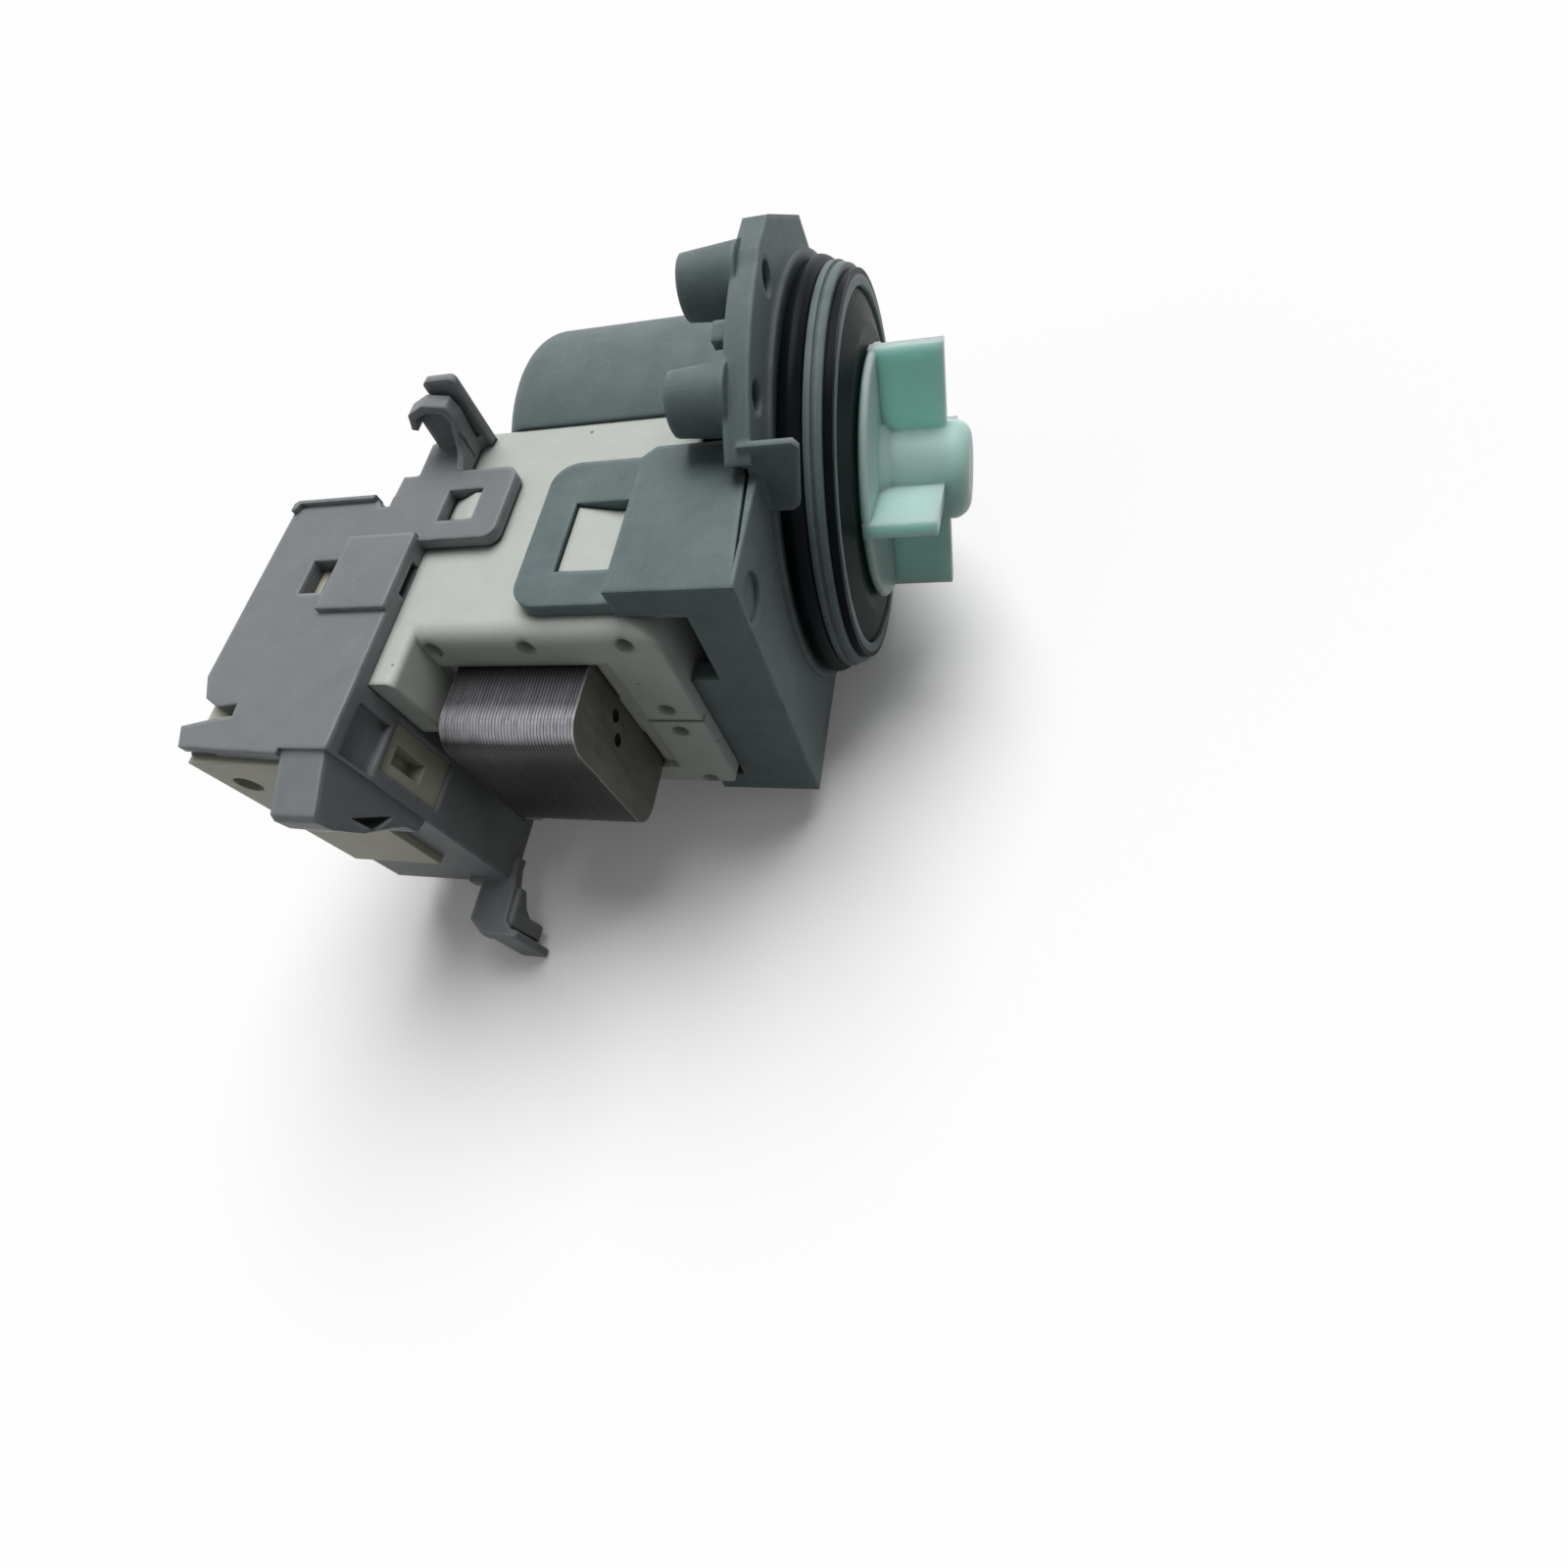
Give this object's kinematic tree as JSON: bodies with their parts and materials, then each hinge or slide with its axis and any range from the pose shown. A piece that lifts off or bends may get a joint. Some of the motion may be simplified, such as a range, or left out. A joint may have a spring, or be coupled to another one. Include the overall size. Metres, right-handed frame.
{
  "type": "washer drain pump",
  "caption": "Washing machine drain pump: magnet rotor in a sealed can, U-core coils, O-ring spigot with screw flange, vaned impeller and clip-on terminal housing.",
  "frame": {"origin": "on the pump axis, at the seating face of the flange", "axes": "+X along the pump axis to the impeller, +Y from the yoke across to the rotor, +Z out of the upper coil"},
  "size_m": [0.1011, 0.1121, 0.0747],
  "materials": {
    "housing_grey_green": "fine satin moulding",
    "black_rubber": "smooth, slightly oily sheen",
    "black_plastic": "semi-gloss",
    "coil_grey": "pale grey filled plastic, faint pearl sheen",
    "bobbin_plastic": "natural glass-filled plastic",
    "enamelled_copper": "enamelled wire",
    "lamination_steel": "punched edges, fine lines",
    "terminal_grey": "satin moulding",
    "insert_ivory": "satin moulding",
    "tinned_brass": "bright tinned strip",
    "shaft_steel": "ground and polished",
    "ferrite": "ground sintered ferrite",
    "carbon_bush": "carbon graphite",
    "impeller_mint": "satin, slightly translucent"
  },
  "bodies": {
    "pump_body": {"front_housing": "housing_grey_green", "main_oring": "black_rubber", "rim_ring": "black_rubber", "bearing_carrier": "black_plastic", "shaft_seal": "black_rubber", "front_bearing": "carbon_bush", "front_bearing_mount": "black_rubber", "rear_bearing": "carbon_bush", "rear_bearing_mount": "black_rubber", "coil_body_upper": "coil_grey", "coil_body_lower": "coil_grey", "bobbin_upper": "bobbin_plastic", "bobbin_lower": "bobbin_plastic", "winding_upper": "enamelled_copper", "winding_lower": "enamelled_copper", "thermal_fuse": "tinned_brass", "yoke_stack": "lamination_steel", "pole_stack_upper": "lamination_steel", "pole_stack_lower": "lamination_steel", "terminal_housing": "terminal_grey", "terminal_insert": "insert_ivory", "spade_terminals": "tinned_brass"},
    "rotor": {"shaft": "shaft_steel", "rotor_magnet": "ferrite", "rotor_sleeve": "bobbin_plastic", "thrust_washers": "bobbin_plastic", "drive_dog": "bobbin_plastic"},
    "impeller": {"impeller": "impeller_mint", "clutch_cover": "impeller_mint", "clutch_buffers": "black_rubber"}
  },
  "joints": [
    {"name": "rotor_spin", "type": "hinge", "parent": "pump_body", "child": "rotor", "pos_m": [0, 0, 0], "axis": [1, 0, 0], "continuous": true},
    {"name": "impeller_lag", "type": "hinge", "parent": "rotor", "child": "impeller", "pos_m": [0, 0, 0], "axis": [1, 0, 0], "range_deg": [0, 180]}
  ]
}
